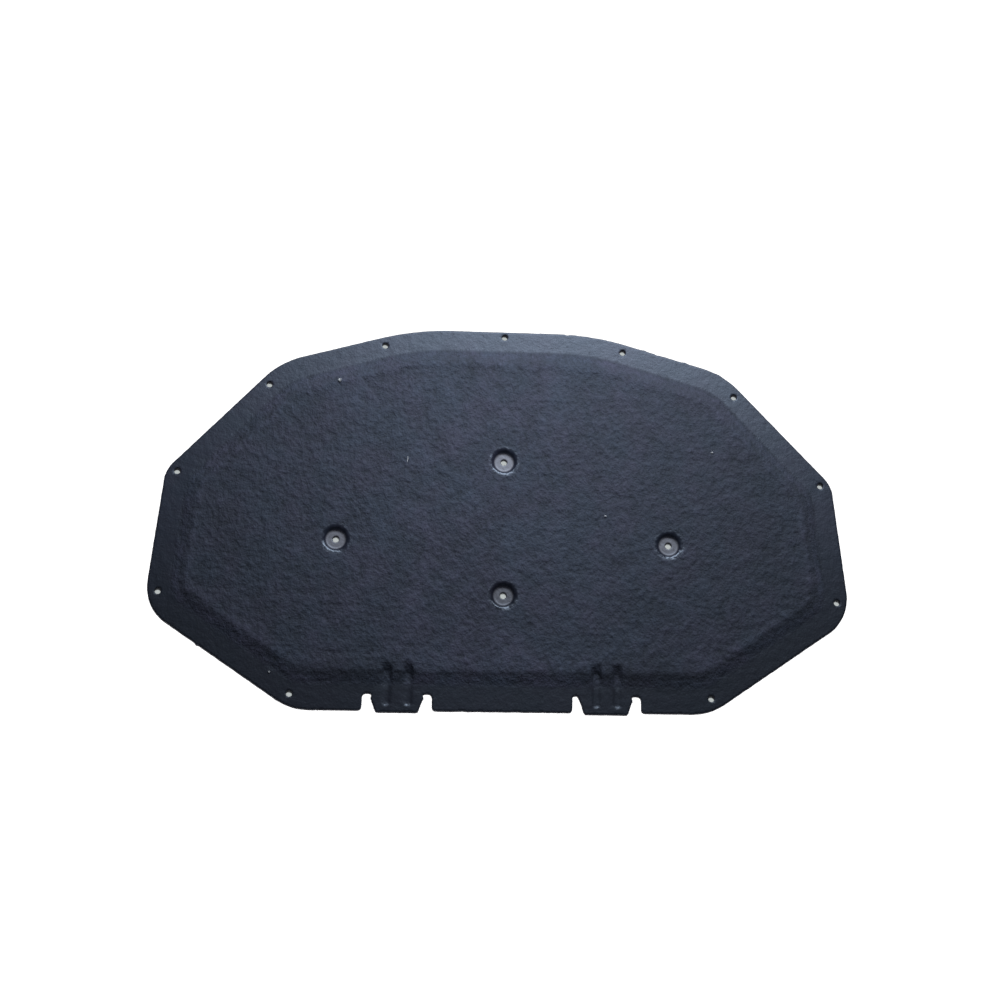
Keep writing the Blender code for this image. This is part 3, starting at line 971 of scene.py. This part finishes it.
class Nodes:
    """A short way to place and join a new material's nodes."""

    def __init__(self, name):
        self.material = bpy.data.materials.new(name)
        self.material.use_nodes = True
        self.tree = self.material.node_tree

    def feed(self, node, values):
        """Sets a node's inputs, each to a plain value or to another node's output."""
        for name, value in values.items():
            if isinstance(value, bpy.types.NodeSocket):
                self.tree.links.new(value, node.inputs[name])
            else:
                node.inputs[name].default_value = value

    def add(self, kind, output, values, **settings):
        """One output of a new node."""
        node = self.tree.nodes.new("ShaderNode" + kind)
        for name, value in settings.items():
            setattr(node, name, value)
        self.feed(node, values)
        return node.outputs[output]

    def dressed(self, values):
        """The material, with the values on its surface."""
        self.feed(self.tree.nodes["Principled BSDF"], values)
        return self.material

    def attribute(self, name):
        return self.add("Attribute", "Fac", {}, attribute_name=name)

    def combed(self):
        """Object coordinates with the slow drift that turns the nap's direction across the pad."""
        place = self.add("TexCoord", "Object", {})
        drift = self.add("TexNoise", "Color", {"Vector": place, "Scale": 1 / COMB_SIZE, "Detail": 0.0})
        centred = self.add("VectorMath", "Vector", {0: drift, 1: (0.5, 0.5, 0.5)}, operation="SUBTRACT")
        values = {0: centred, 1: (2 * COMB_DRIFT, 2 * COMB_DRIFT, 0.0), 2: place}
        return self.add("VectorMath", "Vector", values, operation="MULTIPLY_ADD")

    def placed(self, scale, turn=0.0, place=None):
        """Object coordinates or another place, turned about Z and then scaled."""
        values = {"Vector": place or self.add("TexCoord", "Object", {}), "Rotation": (0.0, 0.0, turn)}
        turned = self.add("Mapping", "Vector", values, vector_type="POINT")
        return self.add("Mapping", "Vector", {"Vector": turned, "Scale": scale}, vector_type="POINT")

    def noise(self, place, detail, roughness):
        values = {"Vector": place, "Scale": 1.0, "Detail": detail, "Roughness": roughness}
        return self.add("TexNoise", "Fac", values)

    def patches(self, scale, roughness, shades):
        """Even patches, from the darkest to the lightest shade."""
        made = self.noise(self.placed((scale, scale, scale)), PATCH_DETAIL, roughness)
        return self.range(made, NOISE_MIDDLE, shades)

    def range(self, value, span, to=(0.0, 1.0)):
        """The value stretched from one span to another."""
        ends = {"From Min": span[0], "From Max": span[1], "To Min": to[0], "To Max": to[1]}
        return self.add("MapRange", "Result", {"Value": value, **ends})

    def math(self, operation, *values):
        return self.add("Math", "Value", dict(enumerate(values)), operation=operation)

    def sum(self, noises, weights):
        """The weighted sum of the noises, shifted so that its mean is 0."""
        total = -0.5 * sum(weights.values())
        for name, weight in weights.items():
            total = self.math("MULTIPLY_ADD", noises[name], weight, total)
        return total

    def tinted(self, colour, tint):
        return self.add("VectorMath", "Vector", {0: colour, 1: tint}, operation="MULTIPLY")

    def scaled(self, colour, factor):
        return self.add("VectorMath", "Vector", {0: colour, "Scale": factor}, operation="SCALE")

    def mix(self, share, first, second):
        """The mix of two colours. A Mix node has its colours at these places, after its other kinds."""
        return self.add("Mix", 2, {0: share, 6: first, 7: second}, data_type="RGBA")


def felt_noises(nodes, felt):
    """The felt's noises by name."""
    along = nodes.combed()
    noises = {}
    for name, (scale, detail, roughness) in EVEN_NOISES.items():
        noises[name] = nodes.noise(nodes.placed((scale, scale, scale)), detail, roughness)
    for name, (scale, turn) in NAP_NOISES.items():
        noises[name] = nodes.noise(nodes.placed(scale, turn - felt.nap_turn, along), *NAP_NOISE_DETAIL)
    return noises


def felt_material(felt):
    """Dark blue-grey fibre felt: napped on the thick field, smoother and glossier where it is pressed."""
    nodes = Nodes("felt")
    noises = felt_noises(nodes, felt)
    pressed = nodes.attribute("pressed")
    calm = nodes.range(pressed, (0.0, 1.0), (1.0, PRESSED_CALM))
    shade = nodes.math("MULTIPLY_ADD", nodes.sum(noises, SHADE_WEIGHTS), calm, 1.0)
    # Painted light and shade: the colour is lighter in a broad middle band, on the chamfer and crest and on
    # the far rim, and darker beside the tabs.
    painted_light_factor = nodes.math("MULTIPLY_ADD", nodes.attribute("painted_light"), PAINTED_LIGHT_GAIN, PAINTED_LIGHT_BASE)
    bare = nodes.mix(pressed, (*felt.field_colour, 1.0), (*felt.pressed_colour, 1.0))
    bare = nodes.mix(nodes.range(noises["hue"], HUE_RANGE), bare, nodes.tinted(bare, HUE_SHIFT))
    # The seats' floors are painted much lighter: a painted sheen of their smooth pressed felt.
    seat_sheen = nodes.math("MULTIPLY", nodes.attribute("seat_sheen"), SEAT_SHEEN_SHARE)
    bare = nodes.mix(seat_sheen, bare, SEAT_SHEEN_COLOUR)
    light = [nodes.range(noises[name], span) for name, span in LIGHT_FIBRE_RANGES.items()]
    light = nodes.math("MULTIPLY", nodes.math("ADD", *light), LIGHT_FIBRE_SHARE)
    light = nodes.math("MINIMUM", light, LIGHT_FIBRE_MOST)
    # The colour with its random tone and with the painted light and shade.
    toned_and_lit_colour = nodes.scaled(bare, nodes.math("MULTIPLY", shade, painted_light_factor))

    rough = nodes.range(pressed, (0.0, 1.0), (NAP_ROUGHNESS, PRESSED_ROUGHNESS))
    rough = nodes.math("MULTIPLY_ADD", nodes.attribute("lip"), LIP_ROUGHNESS, rough)
    uneven = nodes.range(noises["fuzz"], NOISE_MIDDLE, (-FUZZ_ROUGHNESS, FUZZ_ROUGHNESS))
    raised = nodes.math("MULTIPLY", nodes.sum(noises, BUMP_WEIGHTS), calm)
    bump = {"Strength": 1.0, "Distance": BUMP_DISTANCE, "Height": raised}
    surface = {
        "Base Color": nodes.mix(light, toned_and_lit_colour, LIGHT_FIBRE_COLOUR),
        "Roughness": nodes.math("ADD", rough, uneven),
        "Specular IOR Level": FELT_SPECULAR,
        "Specular Tint": FELT_SPECULAR_TINT,
        "Normal": nodes.add("Bump", "Normal", bump),
    }
    return nodes.dressed(surface)


def strand_material(name, colour, roughness):
    """Loose fibres, some lighter and some darker."""
    nodes = Nodes(name)
    shaded = nodes.scaled(tuple(colour), nodes.patches(*STRAND_PATCHES))
    surface = {"Base Color": shaded, "Roughness": roughness, "Specular IOR Level": STRAND_SPECULAR}
    return nodes.dressed(surface)


def floor_material(name, colour):
    """A plain even floor with a trace of cloudiness."""
    nodes = Nodes(name)
    shaded = nodes.scaled(tuple(colour), nodes.patches(*FLOOR_PATCHES))
    return nodes.dressed({"Base Color": shaded, "Roughness": FLOOR_ROUGHNESS})


# Operators


def add_object(name, data):
    made = bpy.data.objects.new(name, data)
    bpy.context.scene.collection.objects.link(made)
    return made


def add_piece(name, mesh, material):
    """A new piece of the pad, at the origin, that rides on the pad's body."""
    piece = add_object(name, mesh)
    mesh.materials.append(material)
    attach(piece, BODY)
    return piece


class HOODPAD_OT_felt_sheet(bpy.types.Operator):
    """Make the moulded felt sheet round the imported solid"""

    bl_idname = "hoodpad.felt_sheet"
    bl_label = "Felt Sheet"

    def execute(self, context):
        felt = context.scene.hood_pad_felt
        piece = add_piece("moulded_felt", felt_sheet_mesh(felt), felt_material(felt))
        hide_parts(PAD_NODE)
        return {"FINISHED"}


class HOODPAD_OT_fibres(bpy.types.Operator):
    """Lay loose fibres on the face and stand some out of the cut edges"""

    bl_idname = "hoodpad.fibres"
    bl_label = "Loose Fibres"

    def execute(self, context):
        fibres = context.scene.hood_pad_fibres
        felt = context.scene.hood_pad_felt
        draw = np.random.default_rng(FIBRE_SEED)
        surface = surface_of(bpy.data.objects["moulded_felt"])
        material = strand_material("loose_fibre", fibres.colour, FIBRE_ROUGHNESS)
        laid = face_fibre_paths(surface, fibres, felt, draw)
        standing = edge_fibre_paths(Sheet(felt).loops, fibres, draw)
        for name, paths in (("face_fibres", laid), ("edge_fibres", standing)):
            girths = fibres.thickness * draw.uniform(*GIRTH_SHARES, len(paths))
            add_piece(name, strands_mesh(name, paths, girths), material)
        return {"FINISHED"}


class HOODPAD_OT_lint(bpy.types.Operator):
    """Drop the specks and the thread of lint on the felt"""

    bl_idname = "hoodpad.lint"
    bl_label = "Lint"

    def execute(self, context):
        lint = context.scene.hood_pad_lint
        draw = np.random.default_rng(LINT_SEED)
        surface = surface_of(bpy.data.objects["moulded_felt"])
        paths, girths = lint_paths(surface, lint, draw)
        material = strand_material("lint", lint.colour, LINT_ROUGHNESS)
        add_piece("lint", strands_mesh("lint", paths, girths), material)
        return {"FINISHED"}


class HOODPAD_OT_studio(bpy.types.Operator):
    """Set the pale floor, the soft lights and the camera"""

    bl_idname = "hoodpad.studio"
    bl_label = "Studio"

    def execute(self, context):
        studio = context.scene.hood_pad_studio
        add_floor(studio)
        add_hole_shade_patches(studio)
        add_lights(studio)
        add_camera()
        return {"FINISHED"}


# The stage

# The camera as worked out from the photograph. The three lights share the key's direction and distance,
# each at its own height over the horizon.
CAMERA_AZIMUTH = math.radians(193.56)
CAMERA_ELEVATION = math.radians(75.0)
CAMERA_ROLL = math.radians(14.43)
CAMERA_DISTANCE = 2.180
CAMERA_TARGET = Vector((-0.0066, 0.0289, 0.0))
CAMERA_LENS = 43.2
KEY_AZIMUTH = math.radians(11.0)
KEY_ELEVATION = math.radians(42.0)
KEY_DISTANCE = 1.5
FLOOR_SIZE = 12.0
FLOOR_LIGHT_ELEVATION = math.radians(60.0)
HOLE_LIGHT_ELEVATION = math.radians(36.0)
SUN_ANGLE = math.radians(10.0)
SKY_COLOUR = (0.92, 0.88, 1.0, 1.0)
HOLE_PATCH_HEIGHT = 0.0002
HOLE_PATCH_MARGIN = 0.0015
HOLE_PATCH_STEPS = 24


def add_floor(studio):
    bpy.ops.object.select_all(action="DESELECT")
    bpy.ops.mesh.primitive_plane_add(size=FLOOR_SIZE, location=(0.0, 0.0, 0.0))
    floor = bpy.context.object
    floor.name = "floor"
    floor.data.materials.append(floor_material("floor", studio.floor_colour))


def add_hole_shade_patches(studio):
    """Grey patches under the holes, darker than the floor, which have a light of their own: painted shade on
    the floor seen through the holes.
    """
    points = []
    faces = []
    for centre, radius in Sheet(bpy.context.scene.hood_pad_felt).holes:
        faces.append(range(len(points), len(points) + HOLE_PATCH_STEPS))
        outline = ring(centre, radius + HOLE_PATCH_MARGIN, HOLE_PATCH_STEPS)
        points.extend((x, y, HOLE_PATCH_HEIGHT) for x, y in outline)
    mesh = bpy.data.meshes.new("shaded_floor_in_holes")
    mesh.from_pydata(points, [], faces)
    mesh.materials.append(floor_material("shaded_floor_in_holes", studio.hole_shade_colour))
    add_object("shaded_floor_in_holes", mesh)


def bearing(azimuth, elevation):
    """The direction at an azimuth, clockwise from +Y, and an elevation."""
    level = math.cos(elevation)
    return Vector((level * math.sin(azimuth), level * math.cos(azimuth), math.sin(elevation)))


def add_light(kind, name, elevation, lit):
    """A light at the key's distance, turned to the middle of the pad, that lights only the pieces named."""
    place = KEY_DISTANCE * bearing(KEY_AZIMUTH, elevation)
    light = add_object(name, bpy.data.lights.new(name, kind))
    light.location = place
    light.rotation_euler = (-place).to_track_quat("-Z", "Y").to_euler()
    receivers = bpy.data.collections.new("lit_by_" + name)
    for piece in lit:
        receivers.objects.link(bpy.data.objects[piece])
    light.light_linking.receiver_collection = receivers
    return light.data


def add_lights(studio):
    """A wide soft key light beyond the far edge, suns for the floor and for the holes, and an even sky."""
    key = add_light("AREA", "key", KEY_ELEVATION, PIECES)
    key.shape = "ELLIPSE"
    key.size = studio.key_width
    key.size_y = studio.key_height
    key.energy = studio.key_power
    on_floor = add_light("SUN", "floor_light", FLOOR_LIGHT_ELEVATION, ["floor"])
    on_floor.angle = SUN_ANGLE
    on_floor.energy = studio.floor_strength
    in_holes = add_light("SUN", "hole_light", HOLE_LIGHT_ELEVATION, ["shaded_floor_in_holes"])
    in_holes.angle = SUN_ANGLE
    in_holes.energy = studio.hole_strength
    world = bpy.data.worlds.new("studio")
    bpy.context.scene.world = world
    world.use_nodes = True
    sky = world.node_tree.nodes["Background"]
    sky.inputs["Color"].default_value = SKY_COLOUR
    sky.inputs["Strength"].default_value = studio.sky_strength


def add_camera():
    """The camera at the photograph's angle, turned about its own axis by the roll."""
    back = bearing(CAMERA_AZIMUTH, CAMERA_ELEVATION)
    turned = back.to_track_quat("Z", "Y").to_matrix().to_4x4() @ Matrix.Rotation(CAMERA_ROLL, 4, "Z")
    camera = add_object("camera", bpy.data.cameras.new("camera"))
    camera.data.lens = CAMERA_LENS
    camera.matrix_world = Matrix.Translation(CAMERA_TARGET + back * CAMERA_DISTANCE) @ turned
    bpy.context.scene.camera = camera
    bpy.context.scene.view_settings.view_transform = "Standard"


class HOODPAD_PT_panel(bpy.types.Panel):
    """Shows each group's settings with the button that runs its operator"""

    bl_idname = "HOODPAD_PT_panel"
    bl_label = "Hood Pad"
    bl_space_type = "VIEW_3D"
    bl_region_type = "UI"
    bl_category = "Hood Pad"

    def draw(self, context):
        for name, (group, operator) in GROUPS.items():
            box = self.layout.box()
            for setting in group.__annotations__:
                box.prop(getattr(context.scene, name), setting)
            box.operator(operator.bl_idname)


GROUPS = {
    "hood_pad_felt": (HoodPadFelt, HOODPAD_OT_felt_sheet),
    "hood_pad_fibres": (HoodPadFibres, HOODPAD_OT_fibres),
    "hood_pad_lint": (HoodPadLint, HOODPAD_OT_lint),
    "hood_pad_studio": (HoodPadStudio, HOODPAD_OT_studio),
}
CLASSES = [made for pair in GROUPS.values() for made in pair] + [HOODPAD_PT_panel]


def register():
    for made in CLASSES:
        bpy.utils.register_class(made)
    for name, (group, _) in GROUPS.items():
        setattr(bpy.types.Scene, name, PointerProperty(type=group))


def unregister():
    for name in GROUPS:
        delattr(bpy.types.Scene, name)
    for made in reversed(CLASSES):
        bpy.utils.unregister_class(made)


def main():
    register()
    bpy.ops.hoodpad.felt_sheet()
    bpy.ops.hoodpad.fibres()
    bpy.ops.hoodpad.lint()
    bpy.ops.hoodpad.studio()


if __name__ == "__main__":
    main()
